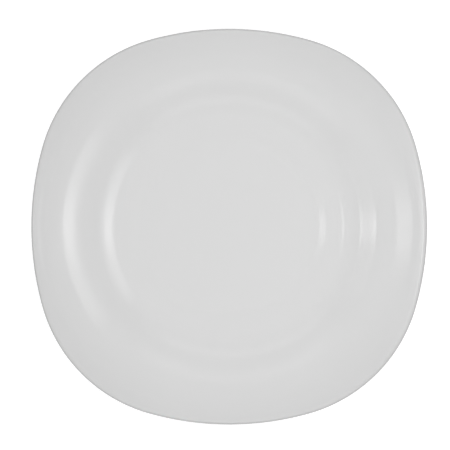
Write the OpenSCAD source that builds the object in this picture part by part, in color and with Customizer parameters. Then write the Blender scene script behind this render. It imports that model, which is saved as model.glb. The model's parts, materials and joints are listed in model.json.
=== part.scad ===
// Square dinner plate, pressed from one gob of opal glass and rounded at its edge by fire.
// The round well, wall and rim are one bent strip of glass, turned about the plate's middle.
// A soft square outline of eight arcs trims the rim, and a rounded lip runs along that outline.
// The plate stands on the XY plane, +Z up, with its middle on the Z axis.

/* [Outline] */
// Width across the middles of two opposite sides
plate_w = 270; // [256:1:300]
// Radius of the long shallow arc along each side
side_r = 201; // [170:1:280]
// Radius of the arc round each corner
corner_r = 105; // [85:1:118]

/* [Glass] */
// Thickness of the pressed glass
glass_t = 3.2; // [2.8:0.1:4.2]

/* [Well] */
// Radius of the flat floor of the well
floor_r = 58; // [52:1:62]
// Radius of the fold where the floor turns up into its shoulder
floor_fold_r = 27; // [15:1:40]
// Slope of the narrow shoulder round the floor, in degrees
shoulder_slope = 9; // [8:0.1:11]
// Length of the shoulder, measured along its slope
shoulder_len = 3.5; // [1:0.1:5]
// Radius of the fold where the shoulder eases down to the slope of the apron
shoulder_fold_r = 45; // [25:1:60]
// Slope of the shallow apron round the shoulder, in degrees
apron_slope = 7.3; // [5.5:0.1:7.8]
// Length of the apron, measured along its slope
apron_len = 9.4; // [8.6:0.1:12]

/* [Wall] */
// Radius of the hollow fold where the apron turns up into the wall
wall_fold_r = 42; // [30:1:50]
// Slope of the wall at its steepest, in degrees
wall_slope = 28.4; // [24:0.1:31]
// Length of the straight, steepest part of the wall, measured along its slope
wall_len = 8.9; // [4:0.1:11]

/* [Rim] */
// Slope of the rim, which rises all the way out, in degrees
rim_slope = 12.1; // [9:0.1:14]
// Length of the straight part of the rim, measured along its slope
rim_len = 9.8; // [6:0.1:12]
// Radius of the fold that brings the rim level at its lip
rim_fold_r = 29; // [20:1:45]

/* [Lip] */
// Radius of the roll that takes the top of the lip down to the edge
lip_roll_r = 4; // [3.4:0.2:8]
// Radius of the fire-polished nose at the very edge
lip_nose_r = 1.3; // [1:0.05:1.35]

/* [Foot ring] */
// Height of the underside of the floor above the table
floor_lift = 1.2; // [0.9:0.1:1.8]
// Radius of the rounded ridge that forms the foot ring
foot_ridge_r = 2.6; // [2.2:0.1:3]
// Width of the flat land that the foot ring stands on
foot_land_w = 2.8; // [2:0.1:3.4]
// Radius of the fillets where the ridge runs into the glass
foot_fillet_r = 1.6; // [0.8:0.1:2]

/* [Hidden] */

// Plain run of rim that the lip and the turned dish share
lip_lap = 0.6;
// Least gap between the crown of the rim and the inner edge of the lip
crown_gap = 0.3;
// Overrun of a cutting shape past what it cuts
overrun = 1;
// Turn of one step along the folds, the lip and foot ring's small arcs, and the outline
fold_step = 2;
small_step = 12;
outline_step = 3;
// Corner stretches of the lip run on by this turn inside the side stretches
meet_turn = 3;
// Side stretches of the lip stop short of the meeting point by this turn
meet_back = 0.4;
// Facets of the previewed circles
turn_fn = 240;

// Place and half angle of the side arcs, and place of the corner arcs, all tangent to each other
side_back = side_r - plate_w / 2;
arc_gap = side_r - corner_r;
corner_at = (sqrt(2 * pow(arc_gap, 2) - pow(side_back, 2)) - side_back) / 2;
side_half_turn = atan2(corner_at, corner_at + side_back);
corner_turn = 90 - 2 * side_half_turn;
corner_reach = corner_at * sqrt(2) + corner_r;

// The nose of the lip rests on the plane of the underside, and the roll touches it from outside
nose_drop = glass_t - lip_nose_r;
roll_w = sqrt(pow(lip_roll_r - lip_nose_r, 2) - pow(lip_roll_r - nose_drop, 2));
roll_turn = asin(roll_w / (lip_roll_r - lip_nose_r));
lip_w = lip_lap + roll_w + lip_nose_r;

// The rim's last fold ends level at its crown, just inside the lip
crown_r = plate_w / 2 - lip_w - crown_gap;
rim_r = crown_r - rim_fold_r * sin(rim_slope) - rim_len * cos(rim_slope);

// The round fold between the wall and the rim takes the room that the other stretches leave
apron_r = floor_r + floor_fold_r * sin(shoulder_slope) + shoulder_len * cos(shoulder_slope)
    + shoulder_fold_r * (sin(shoulder_slope) - sin(apron_slope));
wall_r = apron_r + apron_len * cos(apron_slope) + wall_fold_r * (sin(wall_slope) - sin(apron_slope));
wall_end_r = wall_r + wall_len * cos(wall_slope);
rim_bend_r = (rim_r - wall_end_r) / (sin(wall_slope) - sin(rim_slope));

// The ridge of the foot ring stands under the middle of the apron and is cut level at the table
floor_top = floor_lift + glass_t;
apron_top = floor_top + floor_fold_r * (1 - cos(shoulder_slope)) + shoulder_len * sin(shoulder_slope)
    + shoulder_fold_r * (cos(apron_slope) - cos(shoulder_slope));
foot_root = [apron_r, apron_top]
    + apron_len / 2 * [cos(apron_slope), sin(apron_slope)]
    - glass_t * [-sin(apron_slope), cos(apron_slope)];
land_half_turn = asin(foot_land_w / 2 / foot_ridge_r);
ridge_z = foot_ridge_r * cos(land_half_turn);
ridge_drop = (foot_root.y - ridge_z) / cos(apron_slope);
fillet_at = sqrt(pow(foot_ridge_r + foot_fillet_r, 2) - pow(foot_fillet_r - ridge_drop, 2));
fillet_turn = atan2(foot_fillet_r - ridge_drop, fillet_at);

// Points of an arc round a centre, from just past angle a0 up to a1, in steps no wider than step
function arc(centre, r, a0, a1, step) =
    let (steps = ceil(abs(a1 - a0) / step))
    [for (i = [1:steps]) let (a = a0 + (a1 - a0) * i / steps) centre + r * [cos(a), sin(a)]];

// A strip of glass is a list of points on its upper face, each with the slope there
// This one runs straight on from the strip so far
function straight(strip, len) =
    let (end = strip[len(strip) - 1], a = end.z)
    concat(strip, [[end.x + len * cos(a), end.y + len * sin(a), a]]);

// This one folds the strip upwards by a turn, or downwards where both the radius and turn are negative
function fold(strip, r, turn) =
    let (
        end = strip[len(strip) - 1],
        centre = [end.x, end.y] + r * [-sin(end.z), cos(end.z)],
        steps = ceil(abs(turn) / fold_step)
    )
    concat(strip, [
        for (i = [1:steps])
            let (a = end.z + turn * i / steps)
            [centre.x + r * sin(a), centre.y - r * cos(a), a]
    ]);

// The dish from its middle outwards: flat floor, shoulder, apron, wall, rising rim, level past its crown
floor_strip = straight([[0, floor_top, 0]], floor_r);
shoulder_strip = straight(fold(floor_strip, floor_fold_r, shoulder_slope), shoulder_len);
eased_strip = fold(shoulder_strip, -shoulder_fold_r, apron_slope - shoulder_slope);
apron_strip = straight(eased_strip, apron_len);
wall_strip = straight(fold(apron_strip, wall_fold_r, wall_slope - apron_slope), wall_len);
rim_strip = straight(fold(wall_strip, -rim_bend_r, rim_slope - wall_slope), rim_len);
crown_strip = fold(rim_strip, -rim_fold_r, -rim_slope);
dish_strip = straight(crown_strip, corner_reach - crown_r);
rim_top = crown_strip[len(crown_strip) - 1].y;

// Where a point on the upper face comes through on the underside
function under(p) = [p.x, p.y] - glass_t * [-sin(p.z), cos(p.z)];

// A point given along and square to the underside of the apron, measured from the foot's root
function from_root(p) = foot_root + [
    p.x * cos(apron_slope) - p.y * sin(apron_slope),
    p.x * sin(apron_slope) + p.y * cos(apron_slope)
];

// Outline of the foot ring, from its outer root down round the land and up to its inner root
ridge_at = from_root([0, -ridge_drop]);
outer_fillet = arc([fillet_at, -foot_fillet_r], foot_fillet_r, 90, 180 - fillet_turn, small_step);
inner_fillet = arc([-fillet_at, -foot_fillet_r], foot_fillet_r, fillet_turn, 90, small_step);
foot_outline = concat(
    [for (p = concat([[fillet_at, 0]], outer_fillet)) from_root(p)],
    arc(ridge_at, foot_ridge_r, 360 - fillet_turn + apron_slope, 270 + land_half_turn, small_step),
    [[ridge_at.x - foot_land_w / 2, 0]],
    arc(ridge_at, foot_ridge_r, 270 - land_half_turn, 180 + fillet_turn + apron_slope, small_step),
    [for (p = inner_fillet) from_root(p)]
);

// Section of the dish: out along the upper face, back along the underside, and round the foot
module dish_section() {
    last = len(dish_strip) - 1;
    inner = len(apron_strip) - 2;
    polygon(concat(
        [for (p = dish_strip) [p.x, p.y]],
        [for (i = [last:-1:inner + 1]) under(dish_strip[i])],
        foot_outline,
        [for (i = [inner:-1:0]) under(dish_strip[i])]
    ));
}

// Section of the lip: plain lap, soft roll and round nose, with its edge at x = 0
module lip_section() {
    nose = [-lip_nose_r, rim_top - nose_drop];
    roll_centre = [-lip_nose_r - roll_w, rim_top - lip_roll_r];
    polygon(concat(
        [[-lip_w, rim_top - glass_t], [-lip_w, rim_top], [roll_centre.x, rim_top]],
        arc(roll_centre, lip_roll_r, 90, 90 - roll_turn, fold_step),
        arc(nose, lip_nose_r, 90 - roll_turn, 0, small_step),
        arc(nose, lip_nose_r, 0, -90, small_step)
    ));
}

// Soft square outline, drawn in by an inset
module soft_square(inset) {
    polygon([
        for (quarter = [0:3])
            for (p = concat(
                arc([-side_back, 0], side_r - inset, -side_half_turn, side_half_turn, outline_step),
                arc([corner_at, corner_at], corner_r - inset,
                    side_half_turn, 90 - side_half_turn, outline_step)
            ))
                [
                    p.x * cos(90 * quarter) - p.y * sin(90 * quarter),
                    p.x * sin(90 * quarter) + p.y * cos(90 * quarter)
                ]
    ]);
}

// One stretch of the lip along an arc of the outline
module lip_stretch(r, start, turn) {
    rotate_extrude(angle = turn, start = start, $fn = turn_fn)
        translate([r, 0])
            lip_section();
}

// The lip all round: a stretch for each side, and one round each corner
module lip() {
    for (quarter = [0:3])
        rotate(90 * quarter) {
            translate([-side_back, 0, 0])
                lip_stretch(side_r, meet_back - side_half_turn, 2 * (side_half_turn - meet_back));
            translate([corner_at, corner_at, 0])
                lip_stretch(corner_r, side_half_turn - meet_turn, corner_turn + 2 * meet_turn);
        }
}

// The dish, turned about the plate's middle and trimmed to the outline inside the lip
module dish() {
    intersection() {
        rotate_extrude($fn = turn_fn)
            dish_section();
        linear_extrude(rim_top + overrun)
            soft_square(lip_w - lip_lap);
    }
}

module plate() {
    color("#dadada") {
        dish();
        lip();
    }
}

plate();
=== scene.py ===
"""Square dinner plate of pressed opal glass, on a white table under soft studio light."""

import json
from math import asin, atan2, cos, hypot, pi, radians, sin, sqrt

import bmesh
import bpy
from bpy.props import FloatProperty, FloatVectorProperty, IntProperty, PointerProperty
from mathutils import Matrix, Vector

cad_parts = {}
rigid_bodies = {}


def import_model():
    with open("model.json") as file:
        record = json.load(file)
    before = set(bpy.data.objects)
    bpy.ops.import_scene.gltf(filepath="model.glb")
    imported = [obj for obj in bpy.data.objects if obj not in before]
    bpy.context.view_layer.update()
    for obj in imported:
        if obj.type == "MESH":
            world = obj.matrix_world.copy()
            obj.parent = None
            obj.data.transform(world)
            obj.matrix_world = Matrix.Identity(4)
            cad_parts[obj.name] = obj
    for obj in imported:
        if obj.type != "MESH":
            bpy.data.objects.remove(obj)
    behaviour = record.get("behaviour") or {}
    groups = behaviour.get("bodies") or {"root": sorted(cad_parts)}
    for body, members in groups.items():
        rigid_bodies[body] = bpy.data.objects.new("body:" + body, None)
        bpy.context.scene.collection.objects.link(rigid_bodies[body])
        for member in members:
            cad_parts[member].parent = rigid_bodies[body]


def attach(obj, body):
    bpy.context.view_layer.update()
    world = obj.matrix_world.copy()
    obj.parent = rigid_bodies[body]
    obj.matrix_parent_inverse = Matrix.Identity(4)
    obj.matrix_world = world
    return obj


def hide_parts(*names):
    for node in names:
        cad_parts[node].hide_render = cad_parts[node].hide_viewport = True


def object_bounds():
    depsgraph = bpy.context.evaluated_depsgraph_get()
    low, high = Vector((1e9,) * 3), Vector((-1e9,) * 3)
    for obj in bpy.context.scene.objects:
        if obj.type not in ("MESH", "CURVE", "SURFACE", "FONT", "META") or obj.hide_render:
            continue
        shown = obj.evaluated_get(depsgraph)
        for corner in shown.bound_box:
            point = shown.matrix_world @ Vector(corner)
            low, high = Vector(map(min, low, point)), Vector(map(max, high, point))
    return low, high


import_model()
CAD_LOW, CAD_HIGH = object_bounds()

bl_info = {
    "name": "Square Dinner Plate",
    "version": (1, 0, 0),
    "blender": (4, 5, 0),
    "location": "3D View > Sidebar > Plate",
    "description": "Models a soft square plate of pressed opal glass and lights it in a studio",
    "category": "Add Mesh",
}

MM = 0.001
FULL_TURN = 2 * pi
QUARTERS = 4
WHITE = (1, 1, 1, 1)

# Points closer than this are one point
MERGE_WITHIN = 5e-6
# Folds sharper than this between two faces stay crisp
CRISP_ANGLE = radians(28)
# No two faces that meet may turn further than this from each other
FOLDED_BACK = radians(60)
# Rings across the flat floor, on both faces
FLOOR_STEPS = 12
# Turn of one step on a plain fold, on the bend to the rim and on the two folds by the shoulder
FOLD_STEP = radians(1)
BEND_STEP = radians(0.8)
SHOULDER_STEP = radians(0.6)
# Turn of one step under the rim, under the wall's fold, round the nose and round the foot ring
UNDER_STEP = radians(1.5)
UNDER_WALL_STEP = radians(2)
NOSE_STEP = radians(8)
FOOT_STEP = radians(9)
# Name of the attribute that holds each point's distance from the outline, seen from above
INSET = "inset"

# The photograph is square and this many pixels wide, and the plate's middle and width lie here
PHOTO_PX = 450
MIDDLE_PX = (228.69, 226.17)
WIDTH_PX = 395.8

# Width of the table and furthest sight of the camera, in metres
TABLE_WIDTH = 8
SIGHT = 20
# Steps along a diffuser, and the height by which each one hangs above the last
DIFFUSER_STEPS = 24
DIFFUSER_SPACING = 3 * MM
# The diffusers over the plate, each written as make_diffuser takes it, without its height
DIFFUSERS = (
    ("right_inner", 0, 20, (104, 147), 1.0, (4, 2), 20),
    ("right_core", 0, 24, (147, 414), 1.95, (3, 143), 24),
    ("right_wide", 0, 41, (146.5, 585), 1.23, (2, 350), 12.6),
    ("left_near", 180, 16.4, (80, 118), 2.8, (5, 5), 16.4),
    ("left_far", 180, 10.3, (567, 704), 3.0, (12, 68), 10.3),
    ("left_glow", 180, 42, (545, 710), 0.62, (60, 55), 18),
    ("back_glow", 96, 49, (251, 710), 0.62, (135, 55), 18),
    ("front_glow", -96, 49, (251, 710), 0.62, (135, 55), 18),
)


def linear(hex_colour):
    """An sRGB hex colour as the linear colour that the shaders take."""
    shares = [int(hex_colour[i:i + 2], 16) / 255 for i in (1, 3, 5)]
    return [s / 12.92 if s <= 0.04045 else ((s + 0.055) / 1.055) ** 2.4 for s in shares]


def paint(name, description, hex_colour):
    """A colour that is written in sRGB hex and kept as a linear colour."""
    return FloatVectorProperty(
        name=name, description=description, subtype="COLOR", default=linear(hex_colour)
    )


def number(name, description, value):
    """A plain number."""
    return FloatProperty(name=name, description=description, default=value)


def length(name, description, millimetres):
    """A size that is written in millimetres and kept in metres."""
    return FloatProperty(
        name=name,
        description=description,
        default=millimetres * MM,
        min=0,
        precision=5,
        unit="LENGTH",
    )


def slope(name, description, angle):
    """An angle that is written in degrees and kept in radians."""
    return FloatProperty(
        name=name, description=description, default=radians(angle), unit="ROTATION"
    )


def count(name, description, whole_number):
    """A whole number of steps or loops."""
    return IntProperty(name=name, description=description, default=whole_number)


class PlateSizes(bpy.types.PropertyGroup):
    """The sizes of the plate, as its maker would give them."""

    width: FloatProperty(
        name="Width",
        description="Width across the middles of two opposite sides",
        default=CAD_HIGH.x - CAD_LOW.x,
        unit="LENGTH",
    )
    side_radius: length("Side radius", "Radius of the long shallow arc along each side", 201)
    corner_radius: length("Corner radius", "Radius of the arc round each corner", 105)
    thickness: length("Thickness", "Thickness of the pressed glass", 3.2)
    floor_radius: length("Floor radius", "Radius of the flat floor of the well", 58)
    floor_fold: length("Floor fold", "Radius of the fold from the floor up to its shoulder", 27)
    shoulder_slope: slope("Shoulder slope", "Slope of the narrow shoulder round the floor", 9)
    shoulder_length: length("Shoulder length", "Length of the shoulder along its slope", 3.5)
    shoulder_fold: length(
        "Shoulder fold", "Radius of the fold where the shoulder eases to the apron", 45
    )
    apron_slope: slope("Apron slope", "Slope of the shallow apron round the shoulder", 7.3)
    apron_length: length("Apron length", "Length of the apron along its slope", 9.4)
    wall_fold: length("Wall fold", "Radius of the hollow fold from the apron to the wall", 42)
    wall_slope: slope("Wall slope", "Slope of the wall at its steepest", 28.4)
    wall_length: length(
        "Wall length", "Length of the straight part of the wall along its slope", 8.9
    )
    rim_slope: slope("Rim slope", "Slope of the rim, which rises all the way out", 12.1)
    rim_length: length("Rim length", "Length of the straight part of the rim along its slope", 9.8)
    rim_fold: length("Rim fold", "Radius of the fold that brings the rim level at its lip", 29)
    lip_roll: length("Lip roll", "Radius of the roll from the top of the lip down to the edge", 4)
    lip_nose: length("Lip nose", "Radius of the fire-polished nose at the very edge", 1.3)
    lip_lap: length("Lip lap", "Level glass inside the roll that belongs to the lip", 0.6)
    crown_gap: length("Crown gap", "Level glass between the crown of the rim and the lip", 0.3)
    floor_lift: length("Floor lift", "Height of the underside of the floor above the table", 1.2)
    foot_ridge: length("Foot ridge", "Radius of the ridge that forms the foot ring", 2.6)
    foot_land: length("Foot land", "Width of the flat land that the foot ring stands on", 2.8)
    foot_fillet: length("Foot fillet", "Radius of the fillets at the roots of the foot ring", 1.6)
    side_steps: count("Side steps", "Even number of steps along each side", 34)
    corner_steps: count("Corner steps", "Steps round each corner", 30)
    rim_steps: count("Rim steps", "Loops across the level glass between the dish and the lip", 5)


class GlassLook(bpy.types.PropertyGroup):
    """The look of the glass."""

    # Milk is the glass's own colour. The five settings after it paint shade over it, greyer towards
    # the rim, with noise along the border
    milk: paint("Milk", "Colour of the opal glass where it is thick", "#D7D7D7")
    rim_shade_colour: paint("Thin milk", "Colour of the glass where its milk is thinner", "#CDCDCD")
    rim_shade_from: length("Thin from", "Radius at which the milk starts to thin", 96)
    rim_shade_to: length("Thin to", "Radius at which the milk would be at its thinnest", 150)
    shade_noise_length: length("Cloud length", "Length of the clouds in the milk", 60)
    shade_drift: length("Cloud drift", "Width by which the clouds move the thinning", 12)
    # Painted shade: the colour and width of a thin grey line painted along the very edge
    edge_shade_colour: paint("Edge milk", "Colour of the rounded edge, where light leaks away", "#B2B2B2")
    edge_width: length("Edge width", "Distance from the edge at which no light leaks away", 1.4)
    patch_length: length("Patch length", "Length of the duller patches in the skin", 18)
    sharpest: number("Sharpest", "Roughness of the skin where it mirrors sharpest", 0.07)
    dullest: number("Dullest", "Roughness of the skin where it mirrors dullest", 0.12)
    wave_length: length("Wave length", "Length of the waves that the press leaves", 35)
    wave_height: length("Wave height", "Most that the waves could rise from their troughs", 0.02)
    refraction: number("Refraction", "Index of refraction of the glass", 1.5)
    inward_share: number("Inward share", "Share of the light that wanders in the milk", 0.25)
    inward_depth: length("Inward depth", "Depth to which light wanders in the milk", 1.5)


class StudioLight(bpy.types.PropertyGroup):
    """The studio round the plate."""

    table: paint("Table", "Colour of the table top", "#F2F2F2")
    table_seen: paint("Table seen", "Colour of the table to the eye, under its glow", "#BCBCBC")
    table_glow: number("Table glow", "White that the table adds to the eye", 0.7)
    room_low: number("Room low", "Strength of the room's light by the table", 0.38)
    room_high: number("Room high", "Strength of the room's light overhead", 1.015)
    diffuser_height: length("Diffuser height", "Height of the lowest one above the table", 515)
    camera_height: length("Camera height", "Height of the camera above the table", 9000)


class Pen:
    """Draws a section in the XZ plane, one straight run or round fold after another."""

    def __init__(self, x, z, heading=0.0):
        bpy.ops.mesh.select_all(action="DESELECT")
        bpy.ops.mesh.primitive_plane_add(size=MM)
        bpy.ops.mesh.merge(type="CENTER")
        bpy.ops.transform.translate(value=(x, 0, z))
        self.x, self.z, self.heading = x, z, heading

    def straight(self, run, steps=1):
        """Runs straight on along the heading."""
        move = (run / steps * cos(self.heading), 0, run / steps * sin(self.heading))
        for _ in range(steps):
            bpy.ops.mesh.extrude_vertices_move(TRANSFORM_OT_translate={"value": move})
        self.x += move[0] * steps
        self.z += move[2] * steps

    def fold(self, radius, turn, step=FOLD_STEP):
        """Bends upwards by a turn, or downwards by a negative one, along an arc."""
        side = radius if turn > 0 else -radius
        middle = (self.x - side * sin(self.heading), self.z + side * cos(self.heading))
        bpy.ops.mesh.spin(
            steps=max(1, round(abs(turn) / step)),
            angle=turn,
            center=(middle[0], 0, middle[1]),
            axis=(0, 1, 0),
        )
        self.heading += turn
        self.x = middle[0] + side * sin(self.heading)
        self.z = middle[1] - side * cos(self.heading)


def outline_arcs(sizes):
    """Where the eight arcs of the outline have their middles, and half the turn of a side arc.

    The side arcs have theirs on the axes, that far back beyond the plate's middle. The corner arcs
    have theirs on the diagonals, that far out along both axes.
    """
    side_back = sizes.side_radius - sizes.width / 2
    gap = sizes.side_radius - sizes.corner_radius
    corner_at = (sqrt(2 * gap ** 2 - side_back ** 2) - side_back) / 2
    side_half_turn = atan2(corner_at, corner_at + side_back)
    return side_back, corner_at, side_half_turn


def distance_from_outline(sizes, point):
    """How far inside the soft square outline a point lies, seen from above."""
    side_back, corner_at, side_half_turn = outline_arcs(sizes)
    along, across = sorted((abs(point.x), abs(point.y)), reverse=True)
    past = (along - corner_at, across - corner_at)
    if past[0] > 0 and atan2(past[1], past[0]) > side_half_turn:
        return sizes.corner_radius - hypot(*past)
    return sizes.side_radius - hypot(along + side_back, across)


def lip_shape(sizes):
    """How far the roll of the lip turns, and how wide the whole lip is.

    The roll touches the nose from outside, and the nose rests on the plane of the underside.
    """
    nose_drop = sizes.thickness - sizes.lip_nose
    middles_apart = sizes.lip_roll - sizes.lip_nose
    roll_run = sqrt(middles_apart ** 2 - (sizes.lip_roll - nose_drop) ** 2)
    return asin(roll_run / middles_apart), sizes.lip_lap + roll_run + sizes.lip_nose


def rim_bend_radius(sizes, crown_at):
    """Radius of the fold from the wall to the rim, which takes the room that the rest leaves."""
    shoulder, apron = sizes.shoulder_slope, sizes.apron_slope
    wall, rim = sizes.wall_slope, sizes.rim_slope
    wall_end = (
        sizes.floor_radius
        + sizes.floor_fold * sin(shoulder)
        + sizes.shoulder_length * cos(shoulder)
        + sizes.shoulder_fold * (sin(shoulder) - sin(apron))
        + sizes.apron_length * cos(apron)
        + sizes.wall_fold * (sin(wall) - sin(apron))
        + sizes.wall_length * cos(wall)
    )
    rim_start = crown_at - sizes.rim_fold * sin(rim) - sizes.rim_length * cos(rim)
    return (rim_start - wall_end) / (sin(wall) - sin(rim))


def draw_upper_face(sizes, rim_bend):
    """Draws the upper face from the plate's middle to the rim's crown, and gives its height."""
    pen = Pen(0, sizes.floor_lift + sizes.thickness)
    pen.straight(sizes.floor_radius, steps=FLOOR_STEPS)
    pen.fold(sizes.floor_fold, sizes.shoulder_slope, step=SHOULDER_STEP)
    pen.straight(sizes.shoulder_length)
    pen.fold(sizes.shoulder_fold, sizes.apron_slope - sizes.shoulder_slope, step=SHOULDER_STEP)
    pen.straight(sizes.apron_length, steps=5)
    pen.fold(sizes.wall_fold, sizes.wall_slope - sizes.apron_slope)
    pen.straight(sizes.wall_length, steps=3)
    pen.fold(rim_bend, sizes.rim_slope - sizes.wall_slope, step=BEND_STEP)
    pen.straight(sizes.rim_length, steps=2)
    pen.fold(sizes.rim_fold, -sizes.rim_slope)
    return pen.z


def draw_underside(sizes, rim_bend, crown_at, rim_top):
    """Draws the underside from the rim inwards, with the foot ring under the apron's middle."""
    glass = sizes.thickness
    tilt = sizes.apron_slope
    half_apron = sizes.apron_length / 2
    pen = Pen(crown_at, rim_top - glass, heading=pi)
    pen.fold(sizes.rim_fold - glass, sizes.rim_slope, step=UNDER_STEP)
    pen.straight(sizes.rim_length)
    pen.fold(rim_bend - glass, sizes.wall_slope - sizes.rim_slope, step=UNDER_STEP)
    pen.straight(sizes.wall_length, steps=2)
    pen.fold(sizes.wall_fold + glass, tilt - sizes.wall_slope, step=UNDER_WALL_STEP)

    # The ridge is sunk so that its land, cut level, lies on the table
    root_z = pen.z - half_apron * sin(tilt)
    land_half_turn = asin(sizes.foot_land / 2 / sizes.foot_ridge)
    ridge_drop = (root_z - sizes.foot_ridge * cos(land_half_turn)) / cos(tilt)
    fillet_drop = sizes.foot_fillet - ridge_drop
    fillet_at = sqrt((sizes.foot_ridge + sizes.foot_fillet) ** 2 - fillet_drop ** 2)
    fillet_turn = pi / 2 - atan2(fillet_drop, fillet_at)
    ridge_turn = fillet_turn - land_half_turn

    pen.straight(half_apron - fillet_at)
    pen.fold(sizes.foot_fillet, fillet_turn, step=FOOT_STEP)
    pen.fold(sizes.foot_ridge, -ridge_turn - tilt, step=FOOT_STEP)
    pen.heading = pi
    pen.straight(sizes.foot_land, steps=3)
    pen.heading = pi - land_half_turn
    pen.fold(sizes.foot_ridge, tilt - ridge_turn, step=FOOT_STEP)
    pen.fold(sizes.foot_fillet, fillet_turn, step=FOOT_STEP)
    pen.straight(half_apron - fillet_at)

    pen.fold(sizes.shoulder_fold - glass, sizes.shoulder_slope - tilt)
    pen.straight(sizes.shoulder_length)
    pen.fold(sizes.floor_fold + glass, -sizes.shoulder_slope)
    pen.straight(sizes.floor_radius, steps=FLOOR_STEPS)


def turn_selected(angle, steps, middle=(0, 0)):
    """Turns what is selected about an upright axis, anticlockwise seen from above, with a skin."""
    bpy.ops.mesh.spin(steps=steps, angle=-angle, center=(*middle, 0), axis=(0, 0, 1))


def run_lip(sizes, rim_top):
    """Draws the lip's section at the middle of one side and runs it along all eight arcs."""
    roll_turn, lip_width = lip_shape(sizes)
    pen = Pen(sizes.width / 2 - lip_width, rim_top)
    pen.straight(sizes.lip_lap, steps=2)
    pen.fold(sizes.lip_roll, -roll_turn)
    pen.fold(sizes.lip_nose, roll_turn - pi, step=NOSE_STEP)
    pen.straight(lip_width - sizes.lip_nose, steps=3)

    side_back, corner_at, side_half_turn = outline_arcs(sizes)
    corner_turn = pi / 2 - 2 * side_half_turn
    bpy.ops.mesh.select_linked()
    for quarter in range(QUARTERS):
        turn = quarter * pi / 2
        side = (-side_back * cos(turn), -side_back * sin(turn))
        ahead = turn + pi / 4
        corner = (corner_at * sqrt(2) * cos(ahead), corner_at * sqrt(2) * sin(ahead))
        next_side = (side_back * sin(turn), -side_back * cos(turn))
        turn_selected(side_half_turn, sizes.side_steps // 2, side)
        turn_selected(corner_turn, sizes.corner_steps, corner)
        turn_selected(side_half_turn, sizes.side_steps // 2, next_side)


def bridge_rim(piece, level, cuts):
    """Joins the crown of the rim to the inner edge of the lip at one level."""
    mesh = bmesh.from_edit_mesh(piece.data)
    for face in mesh.faces:
        face.select_set(False)
    for edge in mesh.edges:
        off_level = max(abs(v.co.z - level) for v in edge.verts)
        edge.select_set(edge.is_boundary and off_level < MERGE_WITHIN)
    bmesh.update_edit_mesh(piece.data)
    bpy.ops.mesh.bridge_edge_loops(number_cuts=cuts, interpolation="LINEAR")


def check_skin(piece):
    """Stops the script where the skin is open or doubled, or where faces fold back."""
    mesh = bmesh.new()
    mesh.from_mesh(piece.data)
    bad = sum(not e.is_manifold or e.calc_face_angle() > FOLDED_BACK for e in mesh.edges)
    mesh.free()
    if bad:
        raise RuntimeError(f"the plate's skin is open, doubled or folded back at {bad} edges")


def keep_insets(piece, sizes):
    """Keeps each point's distance from the outline as an attribute, for the material."""
    insets = piece.data.attributes.new(INSET, "FLOAT", "POINT")
    for vertex, inset in zip(piece.data.vertices, insets.data):
        inset.value = distance_from_outline(sizes, vertex.co)


def add_node(tree, kind, inputs=None, **settings):
    """Adds a shader node, with a value or another node's output for each input that is named."""
    node = tree.nodes.new(kind)
    for name, value in settings.items():
        setattr(node, name, value)
    for name, value in (inputs or {}).items():
        if isinstance(value, bpy.types.NodeSocket):
            tree.links.new(value, node.inputs[name])
        else:
            node.inputs[name].default_value = value
    return node


def new_material(name):
    """An empty material with its node tree."""
    material = bpy.data.materials.new(name)
    material.use_nodes = True
    material.node_tree.nodes.clear()
    return material, material.node_tree


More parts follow.
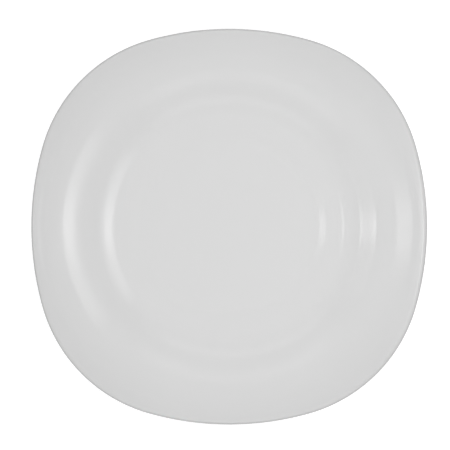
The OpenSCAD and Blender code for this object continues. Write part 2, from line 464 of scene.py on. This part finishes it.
def fire_polished_opal_glass(look):
    """Opal glass, pressed and then fire-polished: an even milky white under a wet-looking skin.

    The milk takes light in a little way, which softens the edge, and the skin mirrors lamps
    sharply. The press leaves a long, very low waviness that only the edges of the reflections show.
    Painted shade greys the white towards the rim and in a thin line at the very edge.
    """
    material, tree = new_material("fire_polished_opal_glass")
    place = add_node(tree, "ShaderNodeTexCoord").outputs["Object"]

    # Painted shade: the colour greys towards the rim, as if less light reached there, and noise
    # moves the border of this shade in and out
    clouds = {"Vector": place, "Scale": 1 / look.shade_noise_length, "Detail": 2.0, "Roughness": 0.5}
    cloud = add_node(tree, "ShaderNodeTexNoise", clouds).outputs["Fac"]
    flat = add_node(tree, "ShaderNodeVectorMath", {0: place, 1: (1, 1, 0)}, operation="MULTIPLY")
    radius = add_node(tree, "ShaderNodeVectorMath", {0: flat.outputs[0]}, operation="LENGTH")
    moved = {0: cloud, 1: look.shade_drift, 2: radius.outputs["Value"]}
    drift = add_node(tree, "ShaderNodeMath", moved, operation="MULTIPLY_ADD").outputs[0]
    mean_drift = look.shade_drift / 2
    shading = {
        "Value": drift,
        "From Min": look.rim_shade_from + mean_drift,
        "From Max": look.rim_shade_to + mean_drift,
    }
    # Painted rim shade: how far the colour has turned grey at each point
    thin = add_node(tree, "ShaderNodeMapRange", shading, interpolation_type="SMOOTHSTEP")
    shade_colours = {"Factor": thin.outputs["Result"], "A": (*look.milk, 1), "B": (*look.rim_shade_colour, 1)}
    body = add_node(tree, "ShaderNodeMix", shade_colours, data_type="RGBA").outputs[2]

    # Painted shade: at the very edge the colour turns grey in a thin line, where the rounded nose
    # turns away from the light
    inset = add_node(tree, "ShaderNodeAttribute", attribute_name=INSET).outputs["Fac"]
    edge_shading = {"Value": inset, "From Min": look.edge_width, "From Max": 0.0}
    edge_shade = add_node(tree, "ShaderNodeMapRange", edge_shading, interpolation_type="SMOOTHSTEP")
    colours = {"Factor": edge_shade.outputs["Result"], "A": body, "B": (*look.edge_shade_colour, 1)}
    colour = add_node(tree, "ShaderNodeMix", colours, data_type="RGBA").outputs[2]

    # Fire leaves the skin slightly less sharp in patches
    patches = {"Vector": place, "Scale": 1 / look.patch_length, "Detail": 3.0, "Roughness": 0.6}
    patch = add_node(tree, "ShaderNodeTexNoise", patches).outputs["Fac"]
    skin = {
        "Value": patch,
        "From Min": 0.3,
        "From Max": 0.7,
        "To Min": look.sharpest,
        "To Max": look.dullest,
    }
    roughness = add_node(tree, "ShaderNodeMapRange", skin).outputs["Result"]

    # The press leaves long waves, about a hundredth of a millimetre high
    waves = {"Vector": place, "Scale": 1 / look.wave_length, "Detail": 1.0, "Roughness": 0.4}
    wave = add_node(tree, "ShaderNodeTexNoise", waves).outputs["Fac"]
    relief = {"Height": wave, "Strength": 1.0, "Distance": look.wave_height}
    bump = add_node(tree, "ShaderNodeBump", relief)

    glass = add_node(
        tree,
        "ShaderNodeBsdfPrincipled",
        {
            "Base Color": colour,
            "Roughness": roughness,
            "IOR": look.refraction,
            "Subsurface Weight": look.inward_share,
            "Subsurface Radius": (1.0, 1.0, 1.0),
            "Subsurface Scale": look.inward_depth,
            "Normal": bump.outputs["Normal"],
        },
    )
    add_node(tree, "ShaderNodeOutputMaterial", {"Surface": glass.outputs["BSDF"]})
    return material


def seen_directly(tree):
    """One for rays from the camera, a mirror or a clear body, and nought for those of light."""
    path = add_node(tree, "ShaderNodeLightPath").outputs
    seen = path["Is Camera Ray"]
    for kind in ("Is Glossy Ray", "Is Transmission Ray"):
        either = {0: seen, 1: path[kind]}
        seen = add_node(tree, "ShaderNodeMath", either, operation="MAXIMUM").outputs[0]
    return seen


def make_table(light):
    """A wide table top that is white to the eye and in mirrors, and keeps the plate's shadow."""
    bpy.ops.mesh.primitive_plane_add(size=TABLE_WIDTH)
    table = bpy.context.object
    table.name = "table_top"
    material, tree = new_material("matt_white_table")
    seen = seen_directly(tree)
    colours = {"Factor": seen, "A": (*light.table, 1), "B": (*light.table_seen, 1)}
    colour = add_node(tree, "ShaderNodeMix", colours, data_type="RGBA").outputs[2]
    matt = add_node(tree, "ShaderNodeBsdfDiffuse", {"Color": colour})
    glow = add_node(tree, "ShaderNodeMath", {0: seen, 1: light.table_glow}, operation="MULTIPLY")
    white = add_node(tree, "ShaderNodeEmission", {"Color": WHITE, "Strength": glow.outputs[0]})
    top = add_node(tree, "ShaderNodeAddShader", {0: matt.outputs[0], 1: white.outputs[0]})
    # Seen from below, the table is not there, so that the underside can be looked at
    below = add_node(tree, "ShaderNodeNewGeometry").outputs["Backfacing"]
    clear = add_node(tree, "ShaderNodeBsdfTransparent")
    faces = {0: below, 1: top.outputs[0], 2: clear.outputs[0]}
    both = add_node(tree, "ShaderNodeMixShader", faces)
    add_node(tree, "ShaderNodeOutputMaterial", {"Surface": both.outputs[0]})
    table.data.materials.append(material)


def make_room(light):
    """White all round: full white to the eye and in mirrors, and as light, dimmer low down."""
    world = bpy.data.worlds.new("white_studio")
    world.use_nodes = True
    tree = world.node_tree
    tree.nodes.clear()
    way = add_node(tree, "ShaderNodeTexCoord").outputs["Object"]
    height = add_node(tree, "ShaderNodeSeparateXYZ", {0: way}).outputs["Z"]
    strengths = {"Value": height, "To Min": light.room_low, "To Max": light.room_high}
    strength = add_node(tree, "ShaderNodeMapRange", strengths).outputs["Result"]
    soft = add_node(tree, "ShaderNodeBackground", {"Color": WHITE, "Strength": strength})
    white = add_node(tree, "ShaderNodeBackground", {"Color": WHITE, "Strength": 1.0})
    sides = {0: seen_directly(tree), 1: soft.outputs[0], 2: white.outputs[0]}
    both = add_node(tree, "ShaderNodeMixShader", sides)
    add_node(tree, "ShaderNodeOutputWorld", {"Surface": both.outputs[0]})
    bpy.context.scene.world = world


def make_diffuser(name, azimuth, half_turn, reach, extra, reach_fades, turn_fade, height):
    """Hangs a thin lit diffuser over the plate, a sector of a ring, that adds light to the room's.

    Its reach from the plate's axis and the fades at its inner and outer edge are in millimetres.
    The azimuth of its middle, its turn to each end and the fade there are in degrees. The extra
    light is a strength, as the room's is.
    """
    inner, outer = (r * MM for r in reach)
    half = radians(half_turn)
    way = (cos(half), -sin(half), 0)
    across = [(outer - inner) * w for w in way]
    bpy.ops.mesh.primitive_plane_add(size=MM)
    diffuser = bpy.context.object
    diffuser.name = name
    bpy.ops.object.mode_set(mode="EDIT")
    bpy.ops.mesh.merge(type="CENTER")
    bpy.ops.transform.translate(value=[inner * w for w in way])
    bpy.ops.mesh.extrude_vertices_move(TRANSFORM_OT_translate={"value": across})
    bpy.ops.mesh.select_all(action="SELECT")
    turn_selected(2 * half, DIFFUSER_STEPS)
    bpy.ops.object.mode_set(mode="OBJECT")
    diffuser.location.z = height
    diffuser.rotation_euler.z = radians(azimuth)

    material, tree = new_material(name + "_diffuser")
    place = add_node(tree, "ShaderNodeTexCoord").outputs["Object"]
    away = add_node(tree, "ShaderNodeVectorMath", {0: place}, operation="LENGTH").outputs["Value"]
    axes = add_node(tree, "ShaderNodeSeparateXYZ", {0: place}).outputs
    aside = add_node(tree, "ShaderNodeMath", {0: axes["Y"]}, operation="ABSOLUTE").outputs[0]
    sides = {0: aside, 1: axes["X"]}
    turn = add_node(tree, "ShaderNodeMath", sides, operation="ARCTAN2").outputs[0]
    glow = extra
    for value, end, full in (
        (away, inner, inner + reach_fades[0] * MM),
        (away, outer, outer - reach_fades[1] * MM),
        (turn, half, half - radians(turn_fade)),
    ):
        span = {"Value": value, "From Min": end, "From Max": full}
        fade = add_node(tree, "ShaderNodeMapRange", span, interpolation_type="SMOOTHSTEP")
        faded = {0: glow, 1: fade.outputs["Result"]}
        glow = add_node(tree, "ShaderNodeMath", faded, operation="MULTIPLY").outputs[0]
    lit = add_node(tree, "ShaderNodeEmission", {"Color": WHITE, "Strength": glow})
    clear = add_node(tree, "ShaderNodeBsdfTransparent")
    both = add_node(tree, "ShaderNodeAddShader", {0: lit.outputs[0], 1: clear.outputs[0]})
    add_node(tree, "ShaderNodeOutputMaterial", {"Surface": both.outputs[0]})
    diffuser.data.materials.append(material)
    diffuser.visible_camera = False


def make_camera(sizes, light):
    """Looks straight down, with the plate as wide and as far off centre as in the photograph."""
    metres_per_px = sizes.width / WIDTH_PX
    centre_px = (PHOTO_PX - 1) / 2
    place = (
        (centre_px - MIDDLE_PX[0]) * metres_per_px,
        (MIDDLE_PX[1] - centre_px) * metres_per_px,
        light.camera_height,
    )
    bpy.ops.object.camera_add(location=place, rotation=(0, 0, 0))
    camera = bpy.context.object
    distance = light.camera_height - CAD_HIGH.z
    camera.data.lens = camera.data.sensor_width * distance / (PHOTO_PX * metres_per_px)
    camera.data.clip_end = SIGHT
    bpy.context.scene.camera = camera


class PLATE_OT_glass(bpy.types.Operator):
    """Model the plate: a turned dish with a foot ring, and a rounded lip along a soft square"""

    bl_idname = "plate.glass"
    bl_label = "Plate"

    def execute(self, context):
        sizes = context.scene.plate_sizes
        bpy.ops.object.select_all(action="DESELECT")
        bpy.ops.mesh.primitive_plane_add(size=MM)
        piece = context.object
        piece.name = "plate_glass"
        bpy.ops.object.mode_set(mode="EDIT")
        bpy.ops.mesh.select_all(action="SELECT")
        bpy.ops.mesh.delete(type="VERT")

        _, lip_width = lip_shape(sizes)
        crown_at = sizes.width / 2 - lip_width - sizes.crown_gap
        rim_bend = rim_bend_radius(sizes, crown_at)
        rim_top = draw_upper_face(sizes, rim_bend)
        draw_underside(sizes, rim_bend, crown_at, rim_top)
        bpy.ops.mesh.select_all(action="SELECT")
        turn_selected(FULL_TURN, QUARTERS * (sizes.side_steps + sizes.corner_steps))
        run_lip(sizes, rim_top)
        bpy.ops.mesh.select_all(action="SELECT")
        bpy.ops.mesh.remove_doubles(threshold=MERGE_WITHIN)
        for level in (rim_top, rim_top - sizes.thickness):
            bridge_rim(piece, level, sizes.rim_steps)
        bpy.ops.mesh.select_all(action="SELECT")
        bpy.ops.mesh.normals_make_consistent(inside=False)
        bpy.ops.object.mode_set(mode="OBJECT")

        check_skin(piece)
        bpy.ops.object.shade_smooth_by_angle(angle=CRISP_ANGLE)
        keep_insets(piece, sizes)
        piece.data.materials.append(fire_polished_opal_glass(context.scene.plate_look))
        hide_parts("plate")
        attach(piece, "root")
        return {"FINISHED"}


class PLATE_OT_studio(bpy.types.Operator):
    """Set up the table, the white room, the diffusers and the camera"""

    bl_idname = "plate.studio"
    bl_label = "Studio"

    def execute(self, context):
        light = context.scene.plate_light
        bpy.ops.object.select_all(action="DESELECT")
        make_table(light)
        make_room(light)
        # Each diffuser hangs a little above the last, so that no two lie in one plane
        for order, diffuser in enumerate(DIFFUSERS):
            make_diffuser(*diffuser, light.diffuser_height + order * DIFFUSER_SPACING)
        make_camera(context.scene.plate_sizes, light)
        context.scene.view_settings.view_transform = "Standard"
        return {"FINISHED"}


class PLATE_PT_sidebar(bpy.types.Panel):
    """The plate's sizes and looks, with a button for each step"""

    bl_idname = "PLATE_PT_sidebar"
    bl_label = "Square Dinner Plate"
    bl_space_type = "VIEW_3D"
    bl_region_type = "UI"
    bl_category = "Plate"

    def draw(self, context):
        scene = context.scene
        for group, operator in (
            (scene.plate_sizes, PLATE_OT_glass),
            (scene.plate_look, None),
            (scene.plate_light, PLATE_OT_studio),
        ):
            box = self.layout.box()
            for name in group.bl_rna.properties.keys():
                if name not in ("rna_type", "name"):
                    box.prop(group, name)
            if operator:
                box.operator(operator.bl_idname)


CLASSES = (PlateSizes, GlassLook, StudioLight, PLATE_OT_glass, PLATE_OT_studio, PLATE_PT_sidebar)


def register():
    """Registers the classes and hangs the settings on the scene."""
    for cls in CLASSES:
        bpy.utils.register_class(cls)
    bpy.types.Scene.plate_sizes = PointerProperty(type=PlateSizes)
    bpy.types.Scene.plate_look = PointerProperty(type=GlassLook)
    bpy.types.Scene.plate_light = PointerProperty(type=StudioLight)


def unregister():
    """Takes the settings and the classes away again."""
    del bpy.types.Scene.plate_light
    del bpy.types.Scene.plate_look
    del bpy.types.Scene.plate_sizes
    for cls in reversed(CLASSES):
        bpy.utils.unregister_class(cls)


def main():
    """Builds the plate and the studio."""
    register()
    bpy.ops.plate.glass()
    bpy.ops.plate.studio()


if __name__ == "__main__":
    main()
